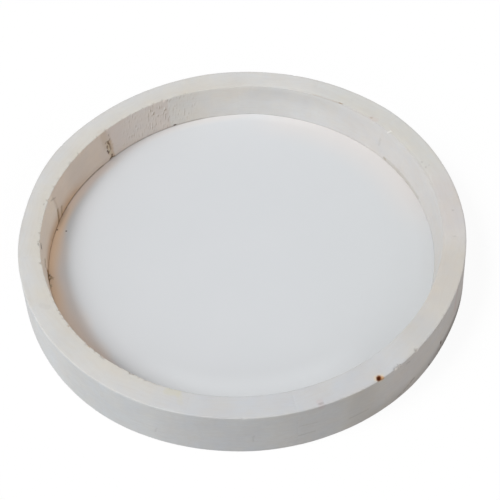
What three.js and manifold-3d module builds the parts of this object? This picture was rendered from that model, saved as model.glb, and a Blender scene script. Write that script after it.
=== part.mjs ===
// Round wooden tray: a ring of hand-cut wood segments glued end to end, with one round floor board
// let into a rebate under the ring. Millimetres, +Z up. The origin is the centre of the foot, on the
// surface that the tray stands on. Angles are degrees from +X, anticlockwise seen from above.
import * as THREE from 'three';
import { mergeVertices } from 'three/addons/utils/BufferGeometryUtils.js';
import Module from 'manifold-3d';

// Ring: both faces of the wall lean in on their way up or down, by the amounts named here
const FOOT_DIAMETER = 300;
const WALL_HEIGHT = 36;
const RIM_WIDTH = 15.4;
const OUTER_LEAN = 1.8;
const INNER_LEAN = 3.1;
const EDGE_EASE = 0.8;

// Where one hand-cut segment is glued to the next
const JOINT_ANGLES = [15, 38.5, 64.5, 88.5, 111.5, 134.5, 164, 186.5, 206, 232, 254.5, 280.5, 303.5, 326, 352];

// Floor board and the rebate that holds it
const FLOOR_HEIGHT = 10;
const REBATE_WIDTH = 7;
const BOARD_RECESS = 1;
const BOARD_EASE = 0.4;

// Clearance left for the glue, across each joint and round the board
const GLUE_LINE = 0.3;

// Fineness of the round surfaces, and how close two points count as one
const FULL_TURN = 360;
const FACET_ANGLE = 2;
const SAME_POINT = 0.001;

const footRadius = FOOT_DIAMETER / 2;
const topRadius = footRadius - OUTER_LEAN;
const mouthRadius = topRadius - RIM_WIDTH;
const insideRadius = mouthRadius - INNER_LEAN;
const rebateRadius = insideRadius + REBATE_WIDTH;
const boardRadius = rebateRadius - GLUE_LINE;
const facetCount = Math.round(FULL_TURN / FACET_ANGLE);

const wood = { color: 0xd3d1cb, roughness: 0.8, metalness: 0 };
const paintedBoard = { color: 0xd7d8da, roughness: 0.6, metalness: 0 };

const wasm = await Module();
wasm.setup();

// Three points of a quarter arc that eases a square corner, from the direction start in degrees
function easedCorner(centreX, centreZ, radius, start) {
  return [0, 45, 90].map((turn) => {
    const angle = THREE.MathUtils.degToRad(start + turn);
    return new THREE.Vector2(centreX + radius * Math.cos(angle), centreZ + radius * Math.sin(angle));
  });
}

// A closed solid of revolution about Z, from a section that runs anticlockwise
function turned(section) {
  const geometry = new THREE.LatheGeometry(section, facetCount);
  geometry.rotateX(Math.PI / 2);
  return geometry;
}

// The section of the ring: foot, leaning outer wall, top, leaning inner wall, and the rebate
function ringSection() {
  const section = [
    new THREE.Vector2(rebateRadius, 0),
    ...easedCorner(footRadius - EDGE_EASE, EDGE_EASE, EDGE_EASE, -90),
    ...easedCorner(topRadius - EDGE_EASE, WALL_HEIGHT - EDGE_EASE, EDGE_EASE, 0),
    ...easedCorner(mouthRadius + EDGE_EASE, WALL_HEIGHT - EDGE_EASE, EDGE_EASE, 90),
    new THREE.Vector2(insideRadius, FLOOR_HEIGHT),
    new THREE.Vector2(rebateRadius, FLOOR_HEIGHT),
  ];
  section.push(section[0].clone());
  return section;
}

function toSolid(geometry) {
  const bare = geometry.clone();
  bare.deleteAttribute('normal');
  bare.deleteAttribute('uv');
  const merged = mergeVertices(bare, SAME_POINT);
  return new wasm.Manifold(new wasm.Mesh({
    numProp: 3,
    vertProperties: new Float32Array(merged.attributes.position.array),
    triVerts: new Uint32Array(merged.index.array),
  }));
}

function toGeometry(solid) {
  const mesh = solid.getMesh();
  const geometry = new THREE.BufferGeometry();
  geometry.setAttribute('position', new THREE.BufferAttribute(mesh.vertProperties, 3));
  geometry.setIndex(new THREE.BufferAttribute(mesh.triVerts, 1));
  return geometry;
}

// A tall wedge about +X whose two sides stand half a glue line inside the joints at its ends
function segmentWedge(span) {
  const half = THREE.MathUtils.degToRad(span / 2);
  const tip = GLUE_LINE / 2 / Math.sin(half);
  const reach = footRadius * 2;
  const outline = new THREE.Shape();
  outline.moveTo(tip, 0);
  outline.lineTo(tip + reach * Math.cos(half), -reach * Math.sin(half));
  outline.lineTo(tip + reach * Math.cos(half), reach * Math.sin(half));
  outline.closePath();
  const wedge = new THREE.ExtrudeGeometry(outline, { depth: WALL_HEIGHT * 2, bevelEnabled: false });
  wedge.translate(0, 0, -WALL_HEIGHT / 2);
  return wedge;
}

function namedMesh(name, geometry, finish) {
  const mesh = new THREE.Mesh(geometry, new THREE.MeshStandardMaterial(finish));
  mesh.name = name;
  return mesh;
}

// The ring: each segment is cut about +X and turned to its place between two joints
function rim() {
  const group = new THREE.Group();
  const ring = toSolid(turned(ringSection()));
  JOINT_ANGLES.forEach((start, index) => {
    const next = JOINT_ANGLES[(index + 1) % JOINT_ANGLES.length];
    const span = (next - start + FULL_TURN) % FULL_TURN;
    const block = ring.intersect(toSolid(segmentWedge(span)));
    const number = String(index + 1).padStart(2, '0');
    const segment = namedMesh(`rim_segment_${number}`, toGeometry(block), wood);
    segment.rotation.z = THREE.MathUtils.degToRad(start + span / 2);
    group.add(segment);
  });
  return group;
}

// The floor board, its underside a little above the foot so that the tray stands on its ring
function floorBoard() {
  const section = [
    new THREE.Vector2(0, BOARD_RECESS),
    ...easedCorner(boardRadius - BOARD_EASE, BOARD_RECESS + BOARD_EASE, BOARD_EASE, -90),
    ...easedCorner(boardRadius - BOARD_EASE, FLOOR_HEIGHT - BOARD_EASE, BOARD_EASE, 0),
    new THREE.Vector2(0, FLOOR_HEIGHT),
  ];
  return namedMesh('floor_board', turned(section), paintedBoard);
}

const tray = new THREE.Group();
tray.add(rim());
tray.add(floorBoard());

export default tray;
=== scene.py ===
import math
from collections import namedtuple
from functools import cache

import bmesh
import bpy
from mathutils import Matrix, Quaternion, Vector, noise
from mathutils.geometry import intersect_point_line


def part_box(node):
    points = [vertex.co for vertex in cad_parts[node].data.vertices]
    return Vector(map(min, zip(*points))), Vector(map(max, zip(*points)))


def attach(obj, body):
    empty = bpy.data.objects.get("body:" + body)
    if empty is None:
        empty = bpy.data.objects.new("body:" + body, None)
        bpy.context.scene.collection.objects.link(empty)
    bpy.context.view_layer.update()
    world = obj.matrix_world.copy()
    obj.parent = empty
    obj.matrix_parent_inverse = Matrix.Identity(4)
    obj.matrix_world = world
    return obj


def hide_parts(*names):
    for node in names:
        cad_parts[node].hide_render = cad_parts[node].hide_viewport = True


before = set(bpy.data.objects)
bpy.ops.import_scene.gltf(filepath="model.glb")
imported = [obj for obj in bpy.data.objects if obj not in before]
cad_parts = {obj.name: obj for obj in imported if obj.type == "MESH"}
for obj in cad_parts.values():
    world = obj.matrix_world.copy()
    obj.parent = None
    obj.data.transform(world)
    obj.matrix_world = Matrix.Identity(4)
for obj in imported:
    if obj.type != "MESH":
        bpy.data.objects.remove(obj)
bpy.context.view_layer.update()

scene = bpy.context.scene


# Rim segments
# Short blocks of pale hardwood, sawn to an arc, glued end to end and sanded round, then brushed with a
# thin matt whitewash. A rebate under them holds the floor board. Sizes are in millimetres, angles are
# degrees from +X, anticlockwise from above; all is turned to metres where a mesh is made.

MM = 0.001
RIM_NODES = sorted(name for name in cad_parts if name.startswith("rim_segment"))
FOOT_RADIUS = max(math.hypot(v.co.x, v.co.y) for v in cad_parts[RIM_NODES[0]].data.vertices) / MM
WALL_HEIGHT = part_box(RIM_NODES[0])[1].z / MM
FLOOR_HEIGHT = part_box("floor_board")[1].z / MM
BOARD_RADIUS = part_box("floor_board")[1].x / MM

RIM_WIDTH = 15.4
OUTER_LEAN = 1.8
INNER_LEAN = 3.1
BOARD_CLEARANCE = 0.3
LEDGE_GAP = 0.02
EDGE_EASE = 0.7
MOUTH_EASE = 0.5

TOP_RADIUS = FOOT_RADIUS - OUTER_LEAN
MOUTH_RADIUS = TOP_RADIUS - RIM_WIDTH
INSIDE_RADIUS = MOUTH_RADIUS - INNER_LEAN
REBATE_RADIUS = BOARD_RADIUS + BOARD_CLEARANCE
MIDDLE_RADIUS = (TOP_RADIUS + MOUTH_RADIUS) / 2

# Hand work left the ring a little out of round: (angle, how far out, over how many degrees)
TOP_SWELLS = [(12, -0.25, 10), (42, 0.5, 8), (97, 0.4, 8), (148, 0.7, 10), (170, -1.0, 11), (260, -0.3, 10),
              (300, 0.6, 8)]
FOOT_SWELLS = [(201, -0.3, 10), (231, 0.6, 13), (261, -0.2, 8), (327, -0.6, 12), (345, 0.1, 8)]
MOUTH_SWELLS = [(93, -0.8, 7), (164, 0.8, 12), (182, 0.5, 8), (200, -0.2, 4), (236, -0.5, 5)]
INSIDE_SWELLS = [(84, 0.6, 7), (136, -0.5, 9), (156, 0.4, 8), (170, 0.8, 25), (185, 2.0, 18)]

# Where the wall's inner foot stands a hair off the board, with dirt and painted shade in the corner: (from,
# to, how high it stands, how dark the dirt and painted shade are); the gap closes over so much of the wall's
# underside and of its height
FOOT_GAPS = [(100, 139, 0.03, 0.3), (139, 206, 0.2, 0.55), (157, 168, 0.0, 0.15), (16, 36, 0.03, 0.06)]
FOOT_GAP_DEPTH = 5.0
FOOT_GAP_RISE = 3.0


def smooth(low, high, value):
    """Nothing up to low, one from high on, and an even rise between."""
    share = min(max((value - low) / (high - low), 0.0), 1.0)
    return share * share * (3 - 2 * share)


def turn_between(angle, other):
    """How many degrees angle lies past other, from -180 to 180."""
    return (angle - other + 180) % 360 - 180


def swell(angle, swells):
    """How far out a line of the ring lies at this angle."""
    return sum(out * math.exp(-(turn_between(angle, centre) / spread) ** 2) for centre, out, spread in swells)


def in_zone(angle, start, end, fade):
    """One inside a stretch of the ring, nothing outside, fading over some degrees at each end."""
    half = ((end - start) % 360) / 2
    return 1 - smooth(half - fade, half + fade, abs(turn_between(angle, start + half)))


def ring_noise(angle, height, per_degree, per_mm, layer):
    """Even noise over the ring, with its own grain round it and up it; each layer is a fresh pattern."""
    return noise.noise(Vector((angle * per_degree, height * per_mm, layer)))


def ring_point(angle, radius, height):
    """A place on the ring, in millimetres."""
    turn = math.radians(angle)
    return Vector((radius * math.cos(turn), radius * math.sin(turn), height))


def angle_of(place):
    """The angle round the ring at which a place lies, from 0 to 360."""
    return math.degrees(math.atan2(place.y, place.x)) % 360


def on_inside(angle, height):
    """A place on the wall's inside, which leans in towards the floor."""
    share = (height - FLOOR_HEIGHT) / (WALL_HEIGHT - FLOOR_HEIGHT)
    return ring_point(angle, INSIDE_RADIUS + share * INNER_LEAN, height)


def on_outside(angle, height):
    """A place on the wall's outside, which leans in towards the top."""
    return ring_point(angle, FOOT_RADIUS - OUTER_LEAN * height / WALL_HEIGHT, height)


def on_top(angle, radius):
    """A place on the rim's level top."""
    return ring_point(angle, radius, WALL_HEIGHT)


@cache
def linear(hex_colour):
    """A colour written as an sRGB hex value, as the shader's linear red, green, blue and alpha."""
    parts = [int(hex_colour[i:i + 2], 16) / 255 for i in (1, 3, 5)]
    return Vector([c / 12.92 if c <= 0.04045 else ((c + 0.055) / 1.055) ** 2.4 for c in parts] + [1])


# Faults in the wood and the paint, each a stroke along some points of the surface: how far it reaches
# to each side, how deep it lies, its colour and how strong that is in the middle
Mark = namedtuple("Mark", "points reach depth colour strength")
# some colours here also serve as painted light: dry wood as painted shade in torn pits, dust as painted shade
# in chips and low on the outside, chalk as painted highlight on torn slivers, the corner's brown as dirt and
# painted shade
BARK = "#412816"
CORNER_DIRT_AND_SHADE = "#6A4F33"
DRY_WOOD_AND_SHADE = "#907656"
STAINED_WOOD = "#A58A68"
OCHRE_WOOD = "#B2915F"
KNOT_WOOD = "#8C6A40"
CREAM_WOOD = "#CBC7B0"
OLD_GLUE = "#8E8466"
DUST_AND_SHADE = "#77706A"
CHALK_AND_HIGHLIGHT = "#F0EEEA"
PINK_SAP = "#C29A9A"
RESIN_CORE = "#421800"
RESIN = "#8E4A0A"
RESIN_SPILL = "#C0843C"
RESIN_HALO = "#EBD0A0"

MARKS = [
    # bark pocket at the joint behind the left of the floor: ochre wood round broken dark cracks
    Mark([on_inside(134.9, 34), on_inside(135.2, 24)], 5.5, 0.0, STAINED_WOOD, 0.22),
    Mark([on_inside(134.1, 24), on_inside(134.1, 17), on_inside(134.2, 10)], 3.4, 0.1, OCHRE_WOOD, 0.42),
    Mark([on_inside(133.6, 31.0), on_inside(133.6, 30.0)], 0.6, 0.2, BARK, 0.4),
    Mark([on_inside(133.5, 27.0), on_inside(133.7, 26.0)], 0.8, 0.2, BARK, 0.35),
    Mark([on_inside(134.3, 25.8), on_inside(134.5, 24.1), on_inside(134.2, 22.8)], 0.8, 0.5, BARK, 0.75),
    Mark([on_inside(134.1, 21.6), on_inside(134.1, 18.0)], 1.0, 0.3, BARK, 0.45),
    Mark([on_inside(135.0, 26.4), on_inside(135.5, 25.7)], 0.7, 0.2, BARK, 0.4),
    Mark([on_inside(135.1, 22.4), on_inside(135.3, 20.8)], 0.8, 0.4, BARK, 0.65),
    Mark([on_inside(135.5, 18.8), on_inside(135.3, 16.3), on_inside(134.7, 17.3)], 1.0, 0.4, BARK, 0.8),
    Mark([on_inside(134.2, 13.0), on_inside(134.4, 10.4)], 0.8, 0.4, BARK, 0.8),
    Mark([on_inside(134.9, 11.4), on_inside(135.4, 10.6)], 0.9, 0.1, BARK, 0.45),
    Mark([on_inside(134.7, 23.6), on_inside(134.7, 21.6)], 0.5, -0.1, CREAM_WOOD, 0.5),
    Mark([on_inside(134.7, 20), on_inside(134.5, 14)], 0.6, -0.1, CREAM_WOOD, 0.5),
    Mark([on_inside(135.2, 10.4), on_inside(133.6, 10.4)], 0.8, 0.3, BARK, 0.7),
    # leaning edge and brown wedge at the joint on the left
    Mark([on_inside(163.5, 31), on_inside(163.0, 25), on_inside(163.3, 18.4)], 1.4, 0.1, DRY_WOOD_AND_SHADE, 0.14),
    Mark([on_inside(163.4, 18.4), on_inside(163.9, 15.8), on_inside(164.8, 10.5)], 2.0, 0.1, DRY_WOOD_AND_SHADE, 0.65),
    Mark([on_inside(164.1, 14.5), on_inside(164.8, 11.0)], 1.0, 0.2, BARK, 0.25),
    Mark([on_inside(161.1, 16.0), on_inside(162.1, 11)], 1.7, 0.1, DRY_WOOD_AND_SHADE, 0.45),
    Mark([on_inside(165.0, 32.3), on_inside(163.7, 30.5), on_inside(162.3, 28.7)], 0.7, 0.2, BARK, 0.3),
    Mark([on_top(167.6, 135.2), on_top(168.1, 135.2)], 0.6, 0.2, DUST_AND_SHADE, 0.4),
    # cracks at the arris and a knot at the foot of the left wall
    Mark([on_top(182.4, 134.0), on_top(182.9, 133.6)], 0.8, 0.2, DUST_AND_SHADE, 0.5),
    Mark([on_inside(181.8, 32.4), on_inside(182.3, 30.8)], 1.7, 0.4, BARK, 0.95),
    Mark([on_inside(183.2, 20.6), on_inside(185.6, 20.8)], 1.5, 0.3, DRY_WOOD_AND_SHADE, 0.85),
    Mark([on_inside(183.8, 20.8), on_inside(184.9, 20.8)], 1.1, 0.4, BARK, 0.7),
    Mark([on_inside(185.4, 18.0), on_inside(185.6, 14.5)], 1.2, 0.2, DRY_WOOD_AND_SHADE, 0.4),
    Mark([on_inside(185.0, 12.5), on_inside(186.6, 12.2), on_inside(188.6, 12)], 3.4, 0.2, KNOT_WOOD, 0.8),
    Mark([on_inside(185.2, 12.2), on_inside(186.4, 12.0)], 1.7, 0.4, BARK, 0.95),
    Mark([on_inside(187.6, 12.4), on_inside(188.5, 12.6)], 1.5, 0.4, BARK, 0.8),
    Mark([on_inside(188.8, 11.2), on_inside(190.4, 12.2), on_inside(191.9, 13.4)],
         1.4, 0.2, CORNER_DIRT_AND_SHADE, 0.65),
    # grey smudge and a chip of chalk at the joint behind the right of the floor
    Mark([on_inside(38.6, 25), on_inside(38.8, 19)], 1.4, 0.05, DUST_AND_SHADE, 0.12),
    Mark([on_top(35.7, 134.6), on_top(35.9, 133.0), on_inside(36.2, 34.8)], 0.9, 0.0, CHALK_AND_HIGHLIGHT, 0.5),
    # old glue that has seeped out at the foot there, and a few flecks on the rim to its right
    Mark([on_inside(35.9, 11.6), on_inside(35.2, 11.5)], 1.1, 0.1, DRY_WOOD_AND_SHADE, 0.4),
    Mark([on_inside(35.2, 11.6), on_inside(30.3, 11.4), on_inside(23.0, 11.3), on_inside(16.5, 11.3)],
         2.4, 0.0, OLD_GLUE, 0.2),
    Mark([on_top(20.6, 135.7), on_top(20.3, 135.4)], 0.9, 0.1, DUST_AND_SHADE, 0.25),
    Mark([on_top(18.4, 136.2), on_top(18.2, 135.7)], 0.9, 0.1, DUST_AND_SHADE, 0.25),
    Mark([on_top(18.6, 138.9), on_top(18.6, 138.5)], 0.7, 0.1, DUST_AND_SHADE, 0.15),
    Mark([on_top(1.1, 142.0), on_top(1.1, 141.2)], 0.8, 0.1, DUST_AND_SHADE, 0.2),
    Mark([on_top(352.0, 141.2), on_top(352.0, 140.4)], 0.8, 0.1, DUST_AND_SHADE, 0.18),
    # pin knot on the inner arris, and the brown line of bare wood that runs from it
    Mark([on_top(54.4, 133.7), on_top(55.5, 133.3)], 0.8, 0.3, DRY_WOOD_AND_SHADE, 0.75),
    Mark([on_top(56.0, 133.1), on_top(64.0, 132.9), on_top(76.0, 132.7)], 0.9, 0.0, STAINED_WOOD, 0.22),
    Mark([on_top(42.2, 135.0), on_top(43.6, 134.8)], 3.0, 0.0, PINK_SAP, 0.12),
    Mark([on_top(43.7, 134.6), on_top(43.8, 134.3)], 1.0, 0.1, DRY_WOOD_AND_SHADE, 0.35),
    # dark spot at the foot beside the back left joint
    Mark([on_inside(110.4, 10.8), on_inside(109.9, 10.6)], 0.9, 0.2, BARK, 0.8),
    # nicks along the inner arris at the front left, and a smudge on the rim there
    Mark([on_top(208.6, 133.1), on_top(208.9, 133.1)], 0.8, 0.5, DUST_AND_SHADE, 0.45),
    Mark([on_top(213.5, 133.6), on_top(213.7, 133.4)], 0.8, 0.3, STAINED_WOOD, 0.5),
    Mark([on_top(222.4, 133.2), on_top(222.9, 133.2)], 0.8, 0.1, OCHRE_WOOD, 0.5),
    Mark([on_top(227.5, 133.2), on_top(228.0, 133.2)], 0.8, 0.5, DUST_AND_SHADE, 0.3),
    Mark([on_top(236.9, 132.9), on_top(238.0, 133.0)], 0.8, 0.5, DUST_AND_SHADE, 0.4),
    Mark([on_top(203.5, 141.5), on_top(205.0, 138.0)], 2.4, 0.0, DUST_AND_SHADE, 0.06),
    # resin knot on the front right of the rim, bled out to the arris
    Mark([on_top(301.7, 146.7), on_top(301.8, 147.0)], 3.6, 0.0, RESIN_HALO, 0.45),
    Mark([on_top(302.2, 147.8), on_outside(302.4, 35.3)], 1.7, 0.0, RESIN_SPILL, 0.65),
    Mark([on_top(301.75, 146.4), on_top(301.55, 147.4)], 2.2, 0.1, RESIN, 0.95),
    Mark([on_top(301.75, 146.5), on_top(301.55, 147.4)], 1.8, 0.25, RESIN_CORE, 1.0),
    # cream patch where the wash is thin, and a greyish spot of pink sap at the outer arris
    Mark([on_top(248.6, 135.0), on_top(250.8, 134.4)], 3.8, 0.0, CREAM_WOOD, 0.4),
    Mark([on_top(251.6, 136.0), on_top(252.6, 140.5)], 3.0, 0.0, CREAM_WOOD, 0.2),
    Mark([on_top(286.3, 145.6), on_outside(286.4, 34.6)], 3.0, 0.0, PINK_SAP, 0.16),
    Mark([on_top(286.0, 146.4), on_top(286.8, 146.7)], 1.0, 0.1, DUST_AND_SHADE, 0.3),
    # splits and scrapes on the outside, right of the front
    Mark([on_outside(325.6, 9.6), on_outside(325.9, 7.2)], 1.2, 0.6, BARK, 0.95),
    Mark([on_outside(319.9, 3.4), on_outside(320.0, 1.4)], 0.9, 0.3, DUST_AND_SHADE, 0.7),
    Mark([on_outside(313.5, 6.8), on_outside(312.2, 5.8)], 1.3, 0.2, DUST_AND_SHADE, 0.4),
    Mark([on_outside(311.4, 5.0), on_outside(309.6, 3.6)], 1.0, 0.2, DUST_AND_SHADE, 0.3),
    Mark([on_outside(309.0, 2.7), on_outside(307.6, 2.3)], 1.0, 0.2, DUST_AND_SHADE, 0.35),
    Mark([on_outside(310.1, 31.9), on_outside(311.4, 30.6)], 0.6, 0.1, DUST_AND_SHADE, 0.3),
    Mark([on_outside(298.5, 11), on_outside(293.5, 11)], 1.0, 0.1, DUST_AND_SHADE, 0.16),
    Mark([on_outside(285.0, 20), on_outside(281.0, 20.5)], 0.9, 0.1, DUST_AND_SHADE, 0.12),
    Mark([on_outside(284.5, 11), on_outside(280.5, 10.4)], 1.1, 0.1, DUST_AND_SHADE, 0.16),
    Mark([on_outside(270.2, 17), on_outside(270.0, 11)], 0.8, 0.15, DUST_AND_SHADE, 0.12),
    Mark([on_outside(247.0, 13), on_outside(246.6, 9)], 0.8, 0.15, DUST_AND_SHADE, 0.12),
    Mark([on_outside(335.2, 33), on_outside(334.3, 25), on_outside(334.7, 15)], 3.2, 0.0, PINK_SAP, 0.2),
    # a pin knot, hairlines at the joints and a few scrapes round the back
    Mark([on_outside(147.9, 25.0), on_outside(148.3, 24.6)], 1.6, 0.1, DRY_WOOD_AND_SHADE, 0.6),
    Mark([on_outside(148.0, 24.9), on_outside(148.2, 24.7)], 0.9, 0.2, BARK, 0.5),
    Mark([on_outside(164.0, 30), on_outside(164.2, 12)], 0.5, 0.1, DRY_WOOD_AND_SHADE, 0.2),
    Mark([on_outside(134.5, 33), on_outside(134.3, 18)], 0.6, 0.2, DRY_WOOD_AND_SHADE, 0.35),
    Mark([on_outside(111.5, 24), on_outside(111.6, 4)], 0.5, 0.1, STAINED_WOOD, 0.25),
    Mark([on_outside(64.5, 13), on_outside(64.4, 3)], 0.5, 0.2, DUST_AND_SHADE, 0.25),
    Mark([on_outside(38.5, 31), on_outside(38.4, 22)], 0.5, 0.1, DUST_AND_SHADE, 0.2),
    Mark([on_outside(96.0, 22), on_outside(97.6, 20.5)], 0.8, 0.15, DUST_AND_SHADE, 0.3),
    Mark([on_outside(120.5, 9), on_outside(116.8, 8.2)], 0.9, 0.1, DUST_AND_SHADE, 0.2),
    Mark([on_outside(72.0, 27), on_outside(76.5, 26.2)], 0.7, 0.1, DUST_AND_SHADE, 0.14),
    Mark([on_outside(20.0, 14), on_outside(16.5, 13.4)], 0.9, 0.1, DUST_AND_SHADE, 0.14),
    # painted shade in the chips out of the outer arris
    Mark([on_top(307.0, 147.8), on_outside(307.2, 34.6)], 0.9, 0.0, DUST_AND_SHADE, 0.4),
    Mark([on_top(308.0, 148.0), on_outside(308.0, 34.2)], 0.7, 0.0, DUST_AND_SHADE, 0.4),
    Mark([on_top(313.9, 147.6), on_outside(313.9, 35.0)], 0.8, 0.0, DUST_AND_SHADE, 0.45),
]
# A block takes marks from so many degrees past its ends; each covers so much of its reach in full, and
# its edge is ragged by a share of its reach, with so many rags a millimetre
MARK_MARGIN = 3.0
COVERED_SHARE = 0.35
RAGGEDNESS = 0.35
RAGS_PER_MM = 0.8

# Chips out of the outer arris: (where, how many degrees it reaches to each side, how deep)
ARRIS_CHIPS = [(306.7, 0.9, 1.1), (307.8, 0.4, 1.9), (313.9, 0.5, 1.7), (291.5, 0.5, 0.3),
               (268.0, 0.6, 0.25), (326.5, 0.4, 0.4), (146.0, 0.5, 0.3), (72.0, 0.5, 0.25), (18.0, 0.4, 0.3)]


def closest_on(place, start, end):
    """The point of a short straight line that lies closest to a place."""
    point, share = intersect_point_line(place, start, end)
    if share < 0:
        return start
    return end if share > 1 else point


def laid_over(paint, colour, cover):
    """A paint, its cover in the fourth value, with one more colour laid over it."""
    return paint * (1 - cover) + linear(colour) * cover


def mark_at(marks, place):
    """How deep the marks cut at a place, and their colour there with its cover in the fourth value."""
    depth = 0.0
    paint = Vector((0, 0, 0, 0))
    for mark in marks:
        gap = min((place - closest_on(place, start, end)).length
                  for start, end in zip(mark.points[:-1], mark.points[1:]))
        if gap > 2 * mark.reach:
            continue
        gap += noise.noise(place * RAGS_PER_MM / mark.reach ** 0.5) * mark.reach * RAGGEDNESS
        share = 1 - smooth(COVERED_SHARE * mark.reach, mark.reach, gap)
        depth += share * mark.depth
        paint = laid_over(paint, mark.colour, share * mark.strength)
    return depth, paint


# The mesh's steps: how finely the section is cut where it shows and where it doesn't, how finely the arc,
# and each eased edge. Two lengths that differ by less than a hair count as the same
FINE_STEP = 0.5
COARSE_STEP = 2.5
ARC_STEP = 0.6
EASE_STEPS = 4
HAIR = 0.1


def wall_outline(bm):
    """Draws the wall's section in the XZ plane as a loop of short edges, its corners eased."""
    corners = {
        (REBATE_RADIUS, 0): 0,
        (FOOT_RADIUS, 0): EDGE_EASE,
        (TOP_RADIUS, WALL_HEIGHT): EDGE_EASE,
        (MOUTH_RADIUS, WALL_HEIGHT): MOUTH_EASE,
        (INSIDE_RADIUS, FLOOR_HEIGHT + LEDGE_GAP): 0,
        (REBATE_RADIUS, FLOOR_HEIGHT + LEDGE_GAP): 0,
    }
    verts = [bm.verts.new((radius * MM, 0, height * MM)) for radius, height in corners]
    bm.faces.new(verts)
    for vert, ease in zip(verts, corners.values()):
        if ease:
            bmesh.ops.bevel(bm, geom=[vert], offset=ease * MM, offset_type="OFFSET", segments=EASE_STEPS,
                            profile=0.5, affect="VERTICES", material=-1)
    bmesh.ops.delete(bm, geom=bm.faces[:], context="FACES_ONLY")
    for edge in bm.edges[:]:
        middle = (edge.verts[0].co + edge.verts[1].co) / 2 / MM
        hidden = middle.z < HAIR or abs(middle.x - REBATE_RADIUS) < HAIR
        cuts = int(edge.calc_length() / MM / (COARSE_STEP if hidden else FINE_STEP))
        if cuts:
            bmesh.ops.subdivide_edges(bm, edges=[edge], cuts=cuts)


# The top is where the surface's normal points up at least this much, the underside where it points down
LEVEL = 0.7


def side_of(normal, radial):
    """Which side of the wall a point is on."""
    if normal.z > LEVEL:
        return "top"
    if normal.z < -LEVEL:
        return "under"
    return "outer" if normal.dot(radial) > 0 else "inner"


# The saw tore the inside beside the back left joint, worst right at it: (from, to, over how many degrees
# it fades). The slivers stand out by so much and lean by so many degrees a millimetre, and each has a
# pit just past it: (degrees, millimetres)
TORN = (103, 128, 3)
TORN_WORST = (111.5, 118, 0.8)
TORN_OUT = 0.3
TORN_LEAN = 0.05
PIT_BESIDE = (0.3, 0.9)


def torn_fibres(angle, height):
    """How the saw tore the inside beside the back left joint: raised slivers as 1, the pits by them as -1."""
    zone = in_zone(angle, *TORN) * (0.5 + 0.5 * in_zone(angle, *TORN_WORST))
    if zone <= 0:
        return 0.0
    lean = angle + TORN_LEAN * height
    clump = 0.3 + 0.7 * smooth(-0.15, 0.3, ring_noise(lean, height, per_degree=0.55, per_mm=0.13, layer=5))
    sliver, pit = [smooth(0.15, 0.42, ring_noise(at, up, per_degree=2.3, per_mm=0.3, layer=3))
                   for at, up in [(lean, height), (lean + PIT_BESIDE[0], height + PIT_BESIDE[1])]]
    return zone * clump * (sliver - pit)


# How far sanding and painting left the surface from true, in millimetres
SANDED_WAVE = 0.08
SANDED_LUMPS = 0.02
BRUSH_RIDGES = 0.03
SAW_RIDGES = 0.05
TOP_RIDGES = 0.02


def relief(side, angle, radius, place):
    """How far the sanded and painted surface stands out from true, in millimetres."""
    lump = SANDED_WAVE * noise.noise(place * 0.05) + SANDED_LUMPS * noise.noise(place * 0.4)
    if side == "outer":
        return lump + BRUSH_RIDGES * ring_noise(angle, place.z, per_degree=0.3, per_mm=1.1, layer=0)
    if side == "inner":
        saw = SAW_RIDGES * ring_noise(angle, place.z, per_degree=1.5, per_mm=0.12, layer=7)
        return lump + saw + TORN_OUT * torn_fibres(angle, place.z)
    return lump + TOP_RIDGES * ring_noise(angle, radius, per_degree=0.35, per_mm=0.9, layer=11)


# Wear reaches so far from an arris, in millimetres; chips and rags reach less far and are deepest next to
# it, and a chip keeps its depth over a share of its length. Hands have rounded the inner arris at the
# right, and it is ragged all round, most at the left: (from, to, over how many degrees it fades, how deep)
ARRIS_BAND = 3.0
CHIP_BAND = 2.0
CHIP_DEEPEST = 0.4
CHIP_FLAT_SHARE = 0.4
ROUNDED_RIGHT = (335, 85, 18)
ROUNDED_DEEP = 0.35
RAGGED_DEEP = 0.12
RAGGED_LEFT = [(108, 250, 10, 0.55), (108, 198, 8, 0.4)]


def arris_wear(angle, radius, height):
    """How far the arrises are broken back, in millimetres: ragged inside, a few chips outside."""
    if height < WALL_HEIGHT - ARRIS_BAND:
        return 0.0
    if radius > TOP_RADIUS - CHIP_BAND:
        edge = 1 - smooth(CHIP_DEEPEST, CHIP_BAND, max(WALL_HEIGHT - height, TOP_RADIUS - radius))
        return edge * sum(deep * (1 - smooth(CHIP_FLAT_SHARE * reach, reach, abs(turn_between(angle, where))))
                          for where, reach, deep in ARRIS_CHIPS)
    if radius < MOUTH_RADIUS + ARRIS_BAND:
        away = max(WALL_HEIGHT - height, radius - MOUTH_RADIUS)
        rounded = ROUNDED_DEEP * in_zone(angle, *ROUNDED_RIGHT) * (1 - smooth(0, ARRIS_BAND, away))
        ragged = sum((deep * in_zone(angle, start, end, fade) for start, end, fade, deep in RAGGED_LEFT),
                     RAGGED_DEEP)
        nick = (ring_noise(angle, 1, per_degree=0.9, per_mm=2, layer=0)
                + 0.7 * ring_noise(angle, 1, per_degree=2.3, per_mm=9, layer=0))
        return rounded + ragged * smooth(0.0, 0.7, nick) * (1 - smooth(CHIP_DEEPEST, CHIP_BAND, away))
    return 0.0


def foot_gap(angle, radius, height):
    """How far the wall's inner foot stands off the board, in millimetres."""
    high = sum(up * in_zone(angle, start, end, fade=1.5) for start, end, up, dirt_and_shade in FOOT_GAPS)
    if height > FLOOR_HEIGHT + HAIR:
        return high * (1 - smooth(0, FOOT_GAP_RISE, height - FLOOR_HEIGHT))
    return high * (1 - smooth(0.5, 1, (radius - INSIDE_RADIUS) / FOOT_GAP_DEPTH))


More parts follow.
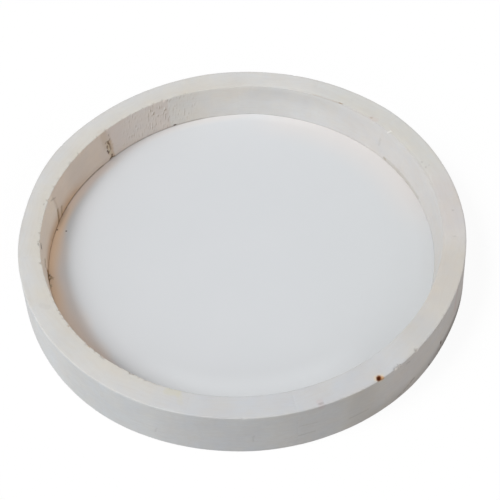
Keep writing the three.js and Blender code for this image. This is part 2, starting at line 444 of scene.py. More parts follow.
def corner_dirt_and_shade(angle, height):
    """How much dirt and painted shade darken the wall's inner foot, from none to one."""
    darkened = sum(dirt_and_shade * in_zone(angle, start, end, fade=2) for start, end, up, dirt_and_shade in FOOT_GAPS)
    patchy = 0.85 + 0.4 * ring_noise(angle, 1, per_degree=0.7, per_mm=4, layer=0)
    return darkened * patchy * (1 - smooth(HAIR, 1.0, height - FLOOR_HEIGHT))


def beside_board(radius, height):
    """Whether a point of the wall lies low enough, and far enough in, to be near the board."""
    return height < FLOOR_HEIGHT + FOOT_GAP_RISE and radius < REBATE_RADIUS


# How the wash dried, with light and shade painted into it: the side of the wall, from and to which angle,
# over how many degrees it fades, and its colour there. It changes sharply at joints inside and round the
# back, as each block is cut from its own board. The broad steps on the top and outside, lighter toward the
# back and left and darker toward the front right, are painted falloff of the window's light, and the inside
# at the left is made lighter and warmer as painted bounce light; where two stretches meet or overlap, the
# later one lies over the earlier
Wash = namedtuple("Wash", "side start end fade colour")
CHALK = "#D2D1CE"
BARE_WOOD = "#C9B49B"
WASHES_AND_PAINTED_LIGHT = [
    Wash("outer", 185, 222, 10, "#DDDFE0"),
    Wash("outer", 222, 250, 8, "#D4D7D9"),
    Wash("outer", 250, 276, 8, "#CBCDCF"),
    Wash("outer", 276, 293, 6, "#CBCBCB"),
    Wash("outer", 293, 302, 3, "#C9C6C2"),
    Wash("outer", 302, 350, 7, "#D3CECA"),
    Wash("outer", 352, 64.5, 0.6, "#CFCBC6"),
    Wash("outer", 64.5, 111.5, 0.6, "#D3D1CD"),
    Wash("outer", 111.5, 164, 0.6, "#CDCBC8"),
    Wash("outer", 164, 186, 0.6, "#D5D6D6"),
    Wash("top", 14, 65, 8, "#CFCFCC"),
    Wash("top", 65, 175, 12, "#D2D2D1"),
    Wash("top", 175, 248, 12, "#D0D0CF"),
    Wash("top", 248, 312, 10, "#C7C9CC"),
    Wash("top", 312, 326, 6, "#C7C7C6"),
    Wash("top", 326, 350, 6, "#C9C5BF"),
    Wash("top", 352, 14, 7, "#CCC8C6"),
    Wash("inner", 350, 58, 15, "#D0CFCE"),
    Wash("inner", 58, 84, 8, "#CDCDCC"),
    Wash("inner", 84, 140, 6, "#DBD8D3"),
    Wash("inner", 111.5, 140, 0.4, "#D7CFC9"),
    Wash("inner", 128, 140, 7, "#D4C8C0"),
    Wash("inner", 134.5, 164, 0.4, "#D3C5B9"),
    Wash("inner", 154, 164, 3, "#D9C9BB"),
    Wash("inner", 164, 232, 0.4, "#E3D5C7"),
    Wash("inner", 232, 254.5, 0.4, "#DBD0C5"),
    Wash("inner", 254.5, 303.5, 0.4, "#D5CFC8"),
    Wash("under", 0, 359.9, 0.1, BARE_WOOD),
]

# Patches on top of that: from and to which angle, over how many degrees they fade, up to what distance
# they show in full, at which they end, and how strong they are. The distance is the height above the
# table, or how far out from the mouth, or how far from an arris
Patch = namedtuple("Patch", "start end fade full ends strength")
LOW_STAIN = "#CBAE93"
# painted light: a lighter wash for the lower back of the inside, where the board's bounce light falls
LIT_WASH = "#E0E3E5"
CREAM = "#CFC8B9"
# painted shade, laid over the eased arrises to damp the highlight they catch from the window
ARRIS_SHADE = "#C0BFBD"
STAINED_LEFT = Patch(150, 250, 8, 9, 21, 1.0)
LIT_LOW_BACK = Patch(56, 97, 8, 20, 33, 0.4)
# painted shade low on the outside at the front right, darkest near the foot, where the table's shade falls
FOOT_SHADE_RIGHT = Patch(300, 345, 8, 3, 13, 0.2)
DARKEST_FOOT_SHADE = Patch(323, 342, 5, 3, 12, 0.45)
CREAMY_LEFT = Patch(85, 245, 15, 0, 14, 0.4)
CREAMY_BACK = Patch(22, 52, 8, 0, 14, 0.2)
MOUTH_ARRIS_SHADE = Patch(345, 70, 12, 0.5, 2.4, 0.4)
DEEPEST_MOUTH_ARRIS_SHADE = Patch(6, 24, 8, 0.5, 2.4, 0.2)
OUTER_ARRIS_SHADE = Patch(262, 185, 12, 0.5, 1.8, 0.3)

# The coat drifts a little in depth over some 30 mm, is blotchy and tinted over less, and is brushed
DRIFT = 0.02
BLOTCH = 0.012
BRUSHED = 0.025
REDDER = 0.013
BLUER = 0.022
THIN_COAT = 0.15


def patch_at(patch, angle, distance):
    """How strongly a patch shows at this angle and this distance."""
    ends = 1 - smooth(patch.full, patch.ends, distance)
    return patch.strength * ends * in_zone(angle, patch.start, patch.end, patch.fade)


def wash_and_painted_light_colour(side, angle, radius, height, place):
    """The whitewash at a place, with painted light and shade: chalk, thinner and warmer in some stretches,
    brown low on the left.
    """
    colour = linear(CHALK)
    for wash_and_painted_light in WASHES_AND_PAINTED_LIGHT:
        if wash_and_painted_light.side == side:
            colour = colour.lerp(linear(wash_and_painted_light.colour), in_zone(angle, wash_and_painted_light.start, wash_and_painted_light.end, wash_and_painted_light.fade))
    drift = noise.noise(place * 0.035)
    blotch = noise.noise(place * 0.09) + 0.7 * noise.noise(place * 0.22)
    brushed = 0.0
    if side == "inner":
        colour = colour.lerp(linear(LOW_STAIN), patch_at(STAINED_LEFT, angle, height + 2 * drift))
        # painted bounce light from the board, lighter low on the back of the inside
        colour = colour.lerp(linear(LIT_WASH), patch_at(LIT_LOW_BACK, angle, height))
    if side == "outer":
        brushed = (ring_noise(angle, height, per_degree=0.4, per_mm=0.55, layer=21)
                   + ring_noise(angle, height, per_degree=1, per_mm=1, layer=5))
        # painted shade low on the outside at the front right
        foot_shade = patch_at(FOOT_SHADE_RIGHT, angle, height) + patch_at(DARKEST_FOOT_SHADE, angle, height)
        colour = colour.lerp(linear(DUST_AND_SHADE), foot_shade)
    if side == "top":
        from_mouth = radius - MOUTH_RADIUS
        creamy = patch_at(CREAMY_LEFT, angle, from_mouth) + patch_at(CREAMY_BACK, angle, from_mouth)
        thin = smooth(0.1, 0.5, noise.noise(place * 0.05 + Vector((8, 3, 0))))
        colour = colour.lerp(linear(CREAM), creamy + THIN_COAT * thin)
    # painted shade along the eased arrises, damping the highlight they catch from the window
    from_outer_arris = abs(radius - TOP_RADIUS) + WALL_HEIGHT - height
    from_mouth_arris = abs(radius - MOUTH_RADIUS) + WALL_HEIGHT - height
    arris_shade = (patch_at(OUTER_ARRIS_SHADE, angle, from_outer_arris)
               + patch_at(MOUTH_ARRIS_SHADE, angle, from_mouth_arris)
               + patch_at(DEEPEST_MOUTH_ARRIS_SHADE, angle, from_mouth_arris))
    colour = colour.lerp(linear(ARRIS_SHADE), arris_shade)
    evenness = 1 + DRIFT * drift + BLOTCH * blotch + BRUSHED * brushed
    hue = Vector((1 + REDDER * blotch, 1, 1 - BLUER * blotch, 1))
    return Vector([part * tint * evenness for part, tint in zip(colour, hue)])


def segment_mesh(name, start, span):
    """One block of the ring, from the wall's section spun through its arc and worn by hand and saw."""
    bm = bmesh.new()
    wall_outline(bm)
    to_its_place = Matrix.Rotation(math.radians(start), 3, "Z")
    bmesh.ops.rotate(bm, verts=bm.verts[:], cent=(0, 0, 0), matrix=to_its_place)
    bmesh.ops.spin(bm, geom=bm.verts[:] + bm.edges[:], cent=(0, 0, 0), axis=(0, 0, 1), dvec=(0, 0, 0),
                   angle=math.radians(span), steps=int(math.radians(span) * FOOT_RADIUS / ARC_STEP),
                   use_merge=False)
    bmesh.ops.recalc_face_normals(bm, faces=bm.faces[:])
    if max(bm.faces, key=lambda face: face.calc_center_median().z).normal.z < 0:
        bmesh.ops.reverse_faces(bm, faces=bm.faces[:])
    bm.normal_update()
    wear_and_paint(bm, start, span)

    ends = [edge for edge in bm.edges if edge.is_boundary]
    for edge in ends:
        edge.smooth = False
    bmesh.ops.holes_fill(bm, edges=ends, sides=0)
    for face in bm.faces:
        face.smooth = len(face.verts) == 4
    mesh = bpy.data.meshes.new(name)
    bm.to_mesh(mesh)
    bm.free()
    return mesh


# The paint has sunk a hair at each joint between two blocks. Torn fibres take so much painted highlight on
# their slivers and painted shade in their pits. Under the foot each block has a tone of its own, with streaks
# along it, and its grain comes from its own board
JOINT_DIP = 0.05
JOINT_DIP_WIDTH = 1.2
TORN_HIGHLIGHT_AND_SHADE = 0.6
BLOCK_TONES = 0.1
STREAKS = 0.08
OWN_GRAIN_ALONG = 0.37
OWN_GRAIN_ACROSS = 0.11

# How deep each side's unevenness goes into the wall before it gives way to the other side's
INNER_SKIN = 3.0
OUTER_SKIN = 4.0


def marked_lit_and_shaded(paint, side, angle, radius, height):
    """The marks' paint at a place, with painted highlight and shade on the torn fibres, and the corner's dirt
    and painted shade, laid over it.
    """
    if side == "inner":
        # painted highlight on the raised slivers, painted shade in the pits beside them
        torn = torn_fibres(angle, height)
        paint = laid_over(paint, CHALK_AND_HIGHLIGHT if torn > 0 else DRY_WOOD_AND_SHADE, TORN_HIGHLIGHT_AND_SHADE * abs(torn))
    # dirt and painted shade at the wall's inner foot
    if side != "outer" and beside_board(radius, height):
        paint = laid_over(paint, CORNER_DIRT_AND_SHADE, corner_dirt_and_shade(angle, height))
    return paint


def bare_tone(start, along, across):
    """How light a block's bare underside is, at so many millimetres along it and across."""
    streak = noise.noise(Vector((along * 0.02, across * 0.5, start)))
    return 1 + BLOCK_TONES * noise.noise(Vector((start * OWN_GRAIN_ALONG, 3.5, 0))) + STREAKS * streak


def out_of_round(angle, radius, height):
    """How far the hand-made round carries a point of the wall outwards, in millimetres."""
    share_up = height / WALL_HEIGHT
    share_out = smooth(INSIDE_RADIUS + INNER_SKIN, FOOT_RADIUS - OUTER_SKIN, radius)
    outside = swell(angle, TOP_SWELLS) * share_up + swell(angle, FOOT_SWELLS) * (1 - share_up)
    inside = swell(angle, MOUTH_SWELLS) * share_up + swell(angle, INSIDE_SWELLS) * (1 - share_up)
    if height < FLOOR_HEIGHT + HAIR and radius > INSIDE_RADIUS + INNER_SKIN:
        inside = 0.0
    return outside * share_out + inside * (1 - share_out)


def wear_and_paint(bm, start, span):
    """Moves each point from true to its hand-worked place, and keeps there how the wash lies on it, with the
    light and shade painted into it.
    """
    wash_and_painted_light_layer = bm.verts.layers.float_color.new("wash_and_painted_light")
    mark_layer = bm.verts.layers.float_color.new("mark")
    grain_layer = bm.verts.layers.float_vector.new("grain")
    along = ring_point(start + span / 2 + 90, 1, 0)
    across = ring_point(start + span / 2, 1, 0)
    own_grain = Vector((start * OWN_GRAIN_ALONG, start * OWN_GRAIN_ACROSS, 0))
    marks = [mark for mark in MARKS
             if in_zone(angle_of(mark.points[0]), start - MARK_MARGIN, start + span + MARK_MARGIN, 0.1) > 0]
    for vert in bm.verts:
        radial = Vector((vert.co.x, vert.co.y, 0)).normalized()
        place = vert.co / MM
        angle = angle_of(place)
        radius = math.hypot(place.x, place.y)
        height = place.z
        side = side_of(vert.normal, radial)
        depth, paint = mark_at(marks, place)
        wash_and_painted_light = wash_and_painted_light_colour(side, angle, radius, height, place)
        if side == "under":
            wash_and_painted_light *= bare_tone(start, place.dot(along), place.dot(across))
        vert[wash_and_painted_light_layer] = wash_and_painted_light
        vert[mark_layer] = marked_lit_and_shaded(paint, side, angle, radius, height)
        vert[grain_layer] = Vector((vert.co.dot(along), vert.co.dot(across), vert.co.z)) + own_grain

        move = radial * out_of_round(angle, radius, height)
        if side != "under":
            turn = min(turn_between(angle, start), turn_between(start + span, angle))
            hairline = JOINT_DIP * (1 - smooth(0, JOINT_DIP_WIDTH, math.radians(turn) * radius))
            worn = depth + hairline + arris_wear(angle, radius, height)
            move += vert.normal * (relief(side, angle, radius, place) - worn)
        if side != "outer" and beside_board(radius, height):
            move.z += foot_gap(angle, radius, height)
        vert.co = (place + move) * MM
    keep_inside_box(bm)


def keep_inside_box(bm):
    """Planes off what stands out of the tray's true box, as the last pass over a sanding board does."""
    reach = FOOT_RADIUS * MM
    for vert in bm.verts:
        vert.co.x = min(max(vert.co.x, -reach), reach)
        vert.co.y = min(max(vert.co.y, -reach), reach)
        vert.co.z = min(max(vert.co.z, 0), WALL_HEIGHT * MM)


def add_piece(name, mesh, material, node):
    """Puts a finished mesh in the scene, riding on the tray in place of its solid."""
    piece = bpy.data.objects.new(name, mesh)
    scene.collection.objects.link(piece)
    mesh.materials.append(material)
    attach(piece, "root")
    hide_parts(node)


def add_node(owner, kind, settings=None, values=None, links=None):
    """Adds one node to a material or the world: settings are its properties, values its sockets' numbers,
    links its inputs' sources."""
    node = owner.node_tree.nodes.new(kind)
    for key, value in (settings or {}).items():
        setattr(node, key, value)
    for key, value in (values or {}).items():
        node.inputs[key].default_value = value
    for key, source in (links or {}).items():
        owner.node_tree.links.new(source, node.inputs[key])
    return node


def cloudy(material, place, scale, detail, roughness):
    """A value that varies cloudily from place to place, with so many bumps a metre."""
    node = add_node(material, "ShaderNodeTexNoise", {"noise_dimensions": "3D"},
                    {"Scale": scale, "Detail": detail, "Roughness": roughness}, {"Vector": place})
    return node.outputs["Fac"]


def colour_over(material, under, colour, share):
    """One colour laid over what is under it, by a share from none to one."""
    mix = add_node(material, "ShaderNodeMix", {"data_type": "RGBA"}, {"B": linear(colour)},
                   {"Factor": share, "A": under})
    return mix.outputs["Result"]


# The wood's colour where it shows through the coat
WOOD_SHOWING = "#BCA68D"
BLACK = "#000000"


def whitewashed_hardwood():
    """Pale hardwood under one thin matt coat of whitewash, brushed on and sanded back.
    It looks chalky and even, a little cool or warm from place to place, with hardly any grain to see.
    Its colour also carries the light and shade painted into the points' wash and mark colours."""
    material = bpy.data.materials.new("whitewashed_hardwood")
    material.use_nodes = True
    material.node_tree.nodes.clear()
    grain = add_node(material, "ShaderNodeAttribute", {"attribute_name": "grain"})
    wash_and_painted_light = add_node(material, "ShaderNodeAttribute", {"attribute_name": "wash_and_painted_light"})
    mark = add_node(material, "ShaderNodeAttribute", {"attribute_name": "mark"})

    # fibres run along the block: 0.6 mm wide and some 15 mm long, drawn a little coarse so that they show
    along_block = add_node(material, "ShaderNodeMapping", {"vector_type": "POINT"},
                           {"Scale": (70, 900, 900)}, {"Vector": grain.outputs["Vector"]})
    fibre = cloudy(material, along_block.outputs["Vector"], scale=1.0, detail=3.0, roughness=0.6)
    # the brush left cloudy patches some 15 mm across
    cloud = cloudy(material, grain.outputs["Vector"], scale=65.0, detail=3.0, roughness=0.55)

    thin = add_node(material, "ShaderNodeMapRange", {},
                    {"From Min": 0.35, "From Max": 0.75, "To Min": 0.0, "To Max": 0.08}, {"Value": cloud})
    streak = add_node(material, "ShaderNodeMapRange", {},
                      {"From Min": 0.45, "From Max": 0.8, "To Min": 0.0, "To Max": 0.1}, {"Value": fibre})
    show = add_node(material, "ShaderNodeMath", {"operation": "ADD", "use_clamp": True}, {},
                    {0: thin.outputs["Result"], 1: streak.outputs["Result"]})
    coated = colour_over(material, wash_and_painted_light.outputs["Color"], WOOD_SHOWING, show.outputs[0])
    # a mark's colour is already weighed by its cover, so it is added to what it leaves uncovered
    uncovered = colour_over(material, coated, BLACK, mark.outputs["Alpha"])
    marked = add_node(material, "ShaderNodeMix", {"data_type": "RGBA", "blend_type": "ADD"}, {"Factor": 1.0},
                      {"A": uncovered, "B": mark.outputs["Color"]})
    bump = add_node(material, "ShaderNodeBump", {}, {"Strength": 0.2, "Distance": 0.0002}, {"Height": fibre})
    shader = add_node(material, "ShaderNodeBsdfPrincipled", {},
                      {"Roughness": 0.8, "IOR": 1.5, "Specular IOR Level": 0.15},
                      {"Base Color": marked.outputs["Result"], "Normal": bump.outputs["Normal"]})
    add_node(material, "ShaderNodeOutputMaterial", {}, {}, {"Surface": shader.outputs["BSDF"]})
    return material


def arc_of(node):
    """Where a block starts round the ring and how far it reaches, in degrees, from its solid."""
    low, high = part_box(node)
    middle = math.degrees(math.atan2(low.y + high.y, low.x + high.x))
    turns = [turn_between(angle_of(v.co), middle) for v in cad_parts[node].data.vertices]
    return (middle + min(turns)) % 360, max(turns) - min(turns)


# Paint has closed the glue lines: each end reaches this many millimetres into its line, so that the blocks
# all but touch
PAINT_IN_JOINT = 0.145
GLUE_CLOSED = math.degrees(PAINT_IN_JOINT / MIDDLE_RADIUS)
hardwood = whitewashed_hardwood()
for node in RIM_NODES:
    start, span = arc_of(node)
    mesh = segment_mesh("whitewashed_" + node, start - GLUE_CLOSED, span + 2 * GLUE_CLOSED)
    add_piece("whitewashed_" + node, mesh, hardwood, node)


# Floor board
# One round sheet of wood, painted smooth in a cool satin white. It is let into the rebate under the
# ring and glued, so its edge lies hidden under the wall.

BOARD_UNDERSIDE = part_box("floor_board")[0].z / MM
BOARD_TOP = FLOOR_HEIGHT - LEDGE_GAP
BOARD_EASE = 0.4
BOARD_EASE_STEPS = 3

# The mesh's steps: round the board, across its underside, and across its top, as many in a fine band by
# the wall as inside it. Points closer than this are one, and an edge is sharp past so many radians
ROUND_STEPS = 360
UNDERSIDE_CUTS = 20
TOP_CUTS = 50
FINE_WIDTH = 20.0
ONE_POINT = 0.01
SHARP = 1.0

# The top waves a little, and away from the wall it lies low enough that no wave rises past its true height
WAVE = 0.08
RIPPLE = 0.02
TOP_SINK = 0.1

# How the paint has fared along the wall, and the light and shade painted on it. Distances are in from the
# wall, in millimetres; some of the top is hidden under it. Tannin has stained the paint on the left, in a
# ragged band, and bled further out, with painted warm bounce light from the wall over both; painted bounce
# light lies by the right and back walls; dirt and painted shade lie in the corner, and painted shade by the
# right wall; painted light whitens the board close to the back wall, and along the front a little in from the
# wall, where the walls' shade falls
HIDDEN_WIDTH = 4.0
STAIN_RAGS = 0.25
STAIN_FULL = 1.5
STAIN_WIDTH = 10.0
STAINED = [(161, 198, 6, 0.65), (152, 225, 8, 0.3)]
BLEED_AND_BOUNCE_FULL_SHARE = 0.3
BLEED_AND_BOUNCE_NARROW = 8.1
BLEED_AND_BOUNCE_WIDE = 18.0
# tannin bleed with painted warm bounce light from the wall, out into its shadow; painted bounce light by the
# right and back walls
BLED_AND_BOUNCE = (135, 232, 8)
WIDE_BLED_AND_BOUNCE = (172, 222, 10)
BOUNCE_BY_RIGHT_WALL = Patch(10, 80, 12, 0, 30, 0.4)
BOUNCE_BY_BACK_WALL = Patch(84, 135, 8, 2, 8, 0.3)
DIRT_AND_SHADE_WIDTH = 0.9
WIDE_DIRT_AND_SHADE = Patch(159, 167, 2, 0.5, 4, 0.3)
# painted shade on the board by the right wall
SHADE_BY_RIGHT_WALL = Patch(340, 22, 10, 3, 12, 0.04)
# painted light: the board whitened where the front and back walls' shade falls
LIT_FRONT = Patch(238, 302, 14, 18, 32, 1.0)
LIT_FRONT_STARTS = (3, 10)
LIT_AT_BACK = Patch(64, 140, 8, 2, 9, 0.4)
MOST_LIT_AT_BACK = (60, 84, 5)


def board_mesh(name):
    """A disc from a section spun right round, with a slight waviness in its top, and a stain, painted light
    and painted shade by the wall.
    """
    bm = bmesh.new()
    plan = [(0, BOARD_UNDERSIDE), (BOARD_RADIUS, BOARD_UNDERSIDE), (BOARD_RADIUS, BOARD_TOP),
            (INSIDE_RADIUS - FINE_WIDTH, BOARD_TOP), (0, BOARD_TOP)]
    corners = [bm.verts.new((radius * MM, 0, height * MM)) for radius, height in plan]
    below, side, near_wall, middle = [bm.edges.new(pair) for pair in zip(corners[:-1], corners[1:])]
    bmesh.ops.subdivide_edges(bm, edges=[below], cuts=UNDERSIDE_CUTS)
    bmesh.ops.subdivide_edges(bm, edges=[near_wall, middle], cuts=TOP_CUTS)
    bmesh.ops.spin(bm, geom=bm.verts[:] + bm.edges[:], cent=(0, 0, 0), axis=(0, 0, 1), dvec=(0, 0, 0),
                   angle=math.tau, steps=ROUND_STEPS, use_merge=True)
    bmesh.ops.remove_doubles(bm, verts=bm.verts[:], dist=ONE_POINT * MM)
    bmesh.ops.recalc_face_normals(bm, faces=bm.faces[:])
    edge_ring = [edge for edge in bm.edges if edge.calc_face_angle(0) > SHARP]
    bmesh.ops.bevel(bm, geom=edge_ring, offset=BOARD_EASE * MM, offset_type="OFFSET",
                    segments=BOARD_EASE_STEPS, profile=0.5, affect="EDGES", material=-1)
    wave_stain_and_light(bm)
    for face in bm.faces:
        face.smooth = True
    mesh = bpy.data.meshes.new(name)
    bm.to_mesh(mesh)
    bm.free()
    return mesh


def wave_stain_and_light(bm):
    """Gives the top its waviness, and keeps how stained and bled each point is, with painted bounce light in
    both, how dirty and shaded, and how much painted light lies on it.
    """
    stain_and_bounce_layer = bm.verts.layers.float.new("stain_and_bounce")
    bleed_and_bounce_layer = bm.verts.layers.float.new("bleed_and_bounce")
    dirt_and_shade_layer = bm.verts.layers.float.new("dirt_and_shade")
    painted_light_layer = bm.verts.layers.float.new("painted_light")
    for vert in bm.verts:
        place = vert.co / MM
        angle = angle_of(place)
        inward = INSIDE_RADIUS + swell(angle, INSIDE_SWELLS) - math.hypot(place.x, place.y)
        if place.z <= BOARD_TOP - BOARD_EASE / 2 or inward <= -HIDDEN_WIDTH:
            continue
        wave = WAVE * noise.noise(place * 0.018) + RIPPLE * noise.noise(place * 0.06)
        vert.co.z += (wave - TOP_SINK) * smooth(0, 8, inward) * MM

        # tannin stain, its colour lightened and warmed by painted bounce light from the wall
        ragged = 1 + STAIN_RAGS * noise.noise(place * 0.05)
        stained = sum(strong * in_zone(angle, start, end, fade) for start, end, fade, strong in STAINED)
        vert[stain_and_bounce_layer] = stained * (1 - smooth(STAIN_FULL, STAIN_WIDTH * ragged, inward))
        # tannin bleed with painted warm bounce light out into the wall's shadow, and painted bounce light by
        # the right and back walls
        width = ragged * (BLEED_AND_BOUNCE_NARROW + (BLEED_AND_BOUNCE_WIDE - BLEED_AND_BOUNCE_NARROW) * in_zone(angle, *WIDE_BLED_AND_BOUNCE))
        bled_and_bounce = in_zone(angle, *BLED_AND_BOUNCE) * (1 - smooth(BLEED_AND_BOUNCE_FULL_SHARE * width, width, inward))
        right_bounce = patch_at(BOUNCE_BY_RIGHT_WALL, angle, inward)
        vert[bleed_and_bounce_layer] = max(bled_and_bounce, right_bounce, patch_at(BOUNCE_BY_BACK_WALL, angle, inward))
        # dirt and painted shade in the corner, wider at the left joint
        dirt_and_shade = corner_dirt_and_shade(angle, FLOOR_HEIGHT) * (1 - smooth(HAIR, DIRT_AND_SHADE_WIDTH, inward))
        # painted shade by the right wall joins them here
        vert[dirt_and_shade_layer] = max(dirt_and_shade, patch_at(WIDE_DIRT_AND_SHADE, angle, inward), patch_at(SHADE_BY_RIGHT_WALL, angle, inward))
        # painted light where the front and back walls' shade falls
        front = smooth(*LIT_FRONT_STARTS, inward) * patch_at(LIT_FRONT, angle, inward)
        back = (1 + in_zone(angle, *MOST_LIT_AT_BACK)) * patch_at(LIT_AT_BACK, angle, inward)
        vert[painted_light_layer] = max(front, back)


# The coat's own whites, its painted shade toward the right and its painted light by the walls, and what the
# wood did to it, lightened and warmed by painted bounce light
COOL_WHITE = "#D6D8DB"
COOLER_WHITE = "#D3D6D9"
RIGHT_SHADE_WHITE = "#D2D5D7"
PAINTED_LIGHT_WHITE = "#DCDFE2"
BLED_AND_BOUNCE_WHITE = "#E3D8D1"
# the stain's colour, lighter and warmer than a stain alone for the painted bounce light in the corner
TANNIN_STAIN_AND_BOUNCE = "#EBCFB2"

# Two specks of dirt by the wall, and what the knot in the wall has shed and bled
Speck = namedtuple("Speck", "angle radius reach strength colour")
SPECKS = [
    Speck(168.1, 124.1, 0.8, 0.9, BARK),
    Speck(168.0, 130.4, 0.9, 0.9, BARK),
    Speck(186.5, 130.3, 2.0, 0.6, KNOT_WOOD),
    Speck(189.6, 131.6, 2.0, 0.5, OLD_GLUE),
    Speck(185.6, 132.0, 1.8, 0.8, BARK),
    Speck(187.2, 131.9, 1.5, 0.8, BARK),
]


def painted_sheet_wood():
    """Sheet wood under a rolled coat of cool white satin paint.
    The roller leaves a faint orange peel, and tannin has browned the paint along the left of the wall.
    Painted shade darkens it toward the right, and painted light and bounce light lighten it by the walls."""
    material = bpy.data.materials.new("painted_sheet_wood")
    material.use_nodes = True
    material.node_tree.nodes.clear()
    place = add_node(material, "ShaderNodeTexCoord").outputs["Object"]
    cloud = cloudy(material, place, scale=22.0, detail=2.0, roughness=0.5)
    # painted shade: the board darkens toward the right, away from the window
    axes = add_node(material, "ShaderNodeSeparateXYZ", {}, {}, {"Vector": place})
    shade_to_right = add_node(material, "ShaderNodeMapRange", {}, {"From Min": 0.02, "From Max": 0.13},
                     {"Value": axes.outputs["X"]})
    white = add_node(material, "ShaderNodeMix", {"data_type": "RGBA"},
                     {"A": linear(COOL_WHITE), "B": linear(COOLER_WHITE)}, {"Factor": cloud})
    painted = colour_over(material, white.outputs["Result"], RIGHT_SHADE_WHITE, shade_to_right.outputs["Result"])
    # then the painted light by the walls, the bled wood colour with painted bounce light, the stain with
    # painted bounce light, and the dirt and painted shade, each over the one before
    over_it = {"painted_light": PAINTED_LIGHT_WHITE, "bleed_and_bounce": BLED_AND_BOUNCE_WHITE, "stain_and_bounce": TANNIN_STAIN_AND_BOUNCE, "dirt_and_shade": CORNER_DIRT_AND_SHADE}
    for layer, colour in over_it.items():
        cover = add_node(material, "ShaderNodeAttribute", {"attribute_name": layer})
        painted = colour_over(material, painted, colour, cover.outputs["Fac"])
    # the specks, their edges torn by a fine noise
    crumb = cloudy(material, place, scale=800.0, detail=2.0, roughness=0.6)
    for speck in SPECKS:
        middle = ring_point(speck.angle, speck.radius, BOARD_TOP) * MM
        reach = speck.reach * MM
        away = add_node(material, "ShaderNodeVectorMath", {"operation": "DISTANCE"}, {1: middle}, {0: place})
        torn = add_node(material, "ShaderNodeMath", {"operation": "MULTIPLY_ADD"}, {1: 2 * reach},
                        {0: crumb, 2: away.outputs["Value"]})
        cover = add_node(material, "ShaderNodeMapRange", {},
                         {"From Min": 2.0 * reach, "From Max": 1.3 * reach, "To Max": speck.strength},
                         {"Value": torn.outputs[0]})
        painted = colour_over(material, painted, speck.colour, cover.outputs["Result"])
    # roller texture, bumps about 1 mm apart
    peel = cloudy(material, place, scale=900.0, detail=1.0, roughness=0.5)
    bump = add_node(material, "ShaderNodeBump", {}, {"Strength": 0.15, "Distance": 0.0001}, {"Height": peel})
    shader = add_node(material, "ShaderNodeBsdfPrincipled", {},
                      {"Roughness": 0.55, "IOR": 1.5, "Specular IOR Level": 0.4},
                      {"Base Color": painted, "Normal": bump.outputs["Normal"]})
    add_node(material, "ShaderNodeOutputMaterial", {}, {}, {"Surface": shader.outputs["BSDF"]})
    return material


add_piece("painted_floor_board", board_mesh("painted_floor_board"), painted_sheet_wood(),
          "floor_board")


# Table, light and camera
# The tray lies on a plain white ground. A high window at the left, brightest near its top, casts the
# wall's soft shadow; pale walls left and right and the room in front fill in, in an even surround. The
# camera looks down from the front, a little rolled, as the photograph does.

WHITE = (1, 1, 1, 1)
GROUND_HALF_WIDTH = 3.0
GROUND_DROP = 0.0001
SHADOW_SHARE = 0.08
GROUND_GREY = "#A0A0A0"


def ground():
    """A wide flat sheet a hair under the tray. It lights the tray as a grey table would, but the camera
    sees it white, with a small share of it lit, so that it keeps a faint shadow."""
    bm = bmesh.new()
    bmesh.ops.create_grid(bm, x_segments=2, y_segments=2, size=GROUND_HALF_WIDTH)
    bmesh.ops.translate(bm, verts=bm.verts[:], vec=(0, 0, -GROUND_DROP))
    mesh = bpy.data.meshes.new("ground")
    bm.to_mesh(mesh)
    bm.free()
    sheet = bpy.data.objects.new("ground", mesh)
    scene.collection.objects.link(sheet)
    material = bpy.data.materials.new("white_ground")
    material.use_nodes = True
    material.node_tree.nodes.clear()
    rays = add_node(material, "ShaderNodeLightPath")
    seen = add_node(material, "ShaderNodeMath", {"operation": "MAXIMUM"}, {},
                    {0: rays.outputs["Is Camera Ray"], 1: rays.outputs["Is Glossy Ray"]})
    any_seen = add_node(material, "ShaderNodeMath", {"operation": "MAXIMUM"}, {},
                        {0: seen.outputs[0], 1: rays.outputs["Is Transmission Ray"]})
    white = add_node(material, "ShaderNodeEmission", {}, {"Color": WHITE, "Strength": 1.0})
    pale = add_node(material, "ShaderNodeBsdfDiffuse", {}, {"Color": WHITE})
    shown = add_node(material, "ShaderNodeMixShader", {}, {0: SHADOW_SHARE},
                     {1: white.outputs[0], 2: pale.outputs[0]})
    grey = add_node(material, "ShaderNodeBsdfDiffuse", {}, {"Color": linear(GROUND_GREY)})
    both = add_node(material, "ShaderNodeMixShader", {}, {},
                    {0: any_seen.outputs[0], 1: grey.outputs[0], 2: shown.outputs[0]})
    add_node(material, "ShaderNodeOutputMaterial", {}, {}, {"Surface": both.outputs[0]})
    mesh.materials.append(material)


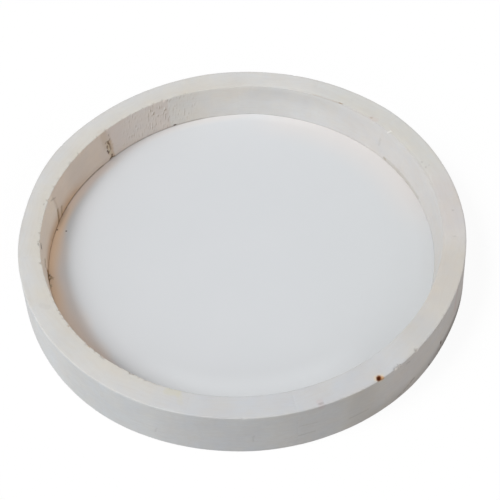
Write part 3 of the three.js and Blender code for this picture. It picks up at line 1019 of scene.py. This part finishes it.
def surround(strength):
    """An even surround that lights the tray softly, and shows white to the camera."""
    world = bpy.data.worlds.new("surround")
    scene.world = world
    world.use_nodes = True
    world.node_tree.nodes.clear()
    rays = add_node(world, "ShaderNodeLightPath")
    lit = add_node(world, "ShaderNodeBackground", {}, {"Color": WHITE, "Strength": strength})
    shown = add_node(world, "ShaderNodeBackground", {}, {"Color": WHITE, "Strength": 1.0})
    both = add_node(world, "ShaderNodeMixShader", {}, {},
                    {0: rays.outputs["Is Camera Ray"], 1: lit.outputs[0], 2: shown.outputs[0]})
    add_node(world, "ShaderNodeOutputWorld", {}, {}, {"Surface": both.outputs[0]})


def soft_light(name, azimuth, elevation, strength, spread):
    """A broad far light, from a compass angle like the ring's and a height above the ground."""
    lamp = bpy.data.lights.new(name, "SUN")
    lamp.energy = strength
    lamp.angle = math.radians(spread)
    holder = bpy.data.objects.new(name, lamp)
    scene.collection.objects.link(holder)
    side = math.radians(azimuth)
    lift = math.radians(elevation)
    towards = Vector((math.cos(side) * math.cos(lift), math.sin(side) * math.cos(lift), math.sin(lift)))
    holder.rotation_mode = "QUATERNION"
    holder.rotation_quaternion = towards.to_track_quat("Z", "Y")


def photograph_camera():
    """Sees the tray as the photograph does: from how far and how high, aimed where, and a little rolled."""
    distance = 831.5 * MM
    elevation = math.radians(51.69)
    aim = Vector((5.2 * MM, 7.4 * MM, 0))
    roll = math.radians(-2.83)
    place = Vector((0, -distance * math.cos(elevation), distance * math.sin(elevation)))
    camera = bpy.data.cameras.new("camera")
    camera.sensor_width = 36
    camera.lens = 87.1
    holder = bpy.data.objects.new("camera", camera)
    scene.collection.objects.link(holder)
    holder.location = place
    holder.rotation_mode = "QUATERNION"
    holder.rotation_quaternion = (aim - place).to_track_quat("-Z", "Y") @ Quaternion((0, 0, 1), roll)
    scene.camera = holder


ground()
surround(strength=0.38)
soft_light("window", azimuth=197, elevation=53, strength=1.09, spread=26)
soft_light("window_top", azimuth=196, elevation=58, strength=0.58, spread=12)
soft_light("left_wall", azimuth=205, elevation=15, strength=0.61, spread=60)
soft_light("right_wall", azimuth=0, elevation=20, strength=0.32, spread=60)
soft_light("room", azimuth=300, elevation=45, strength=0.53, spread=60)
photograph_camera()
scene.view_settings.view_transform = "Standard"
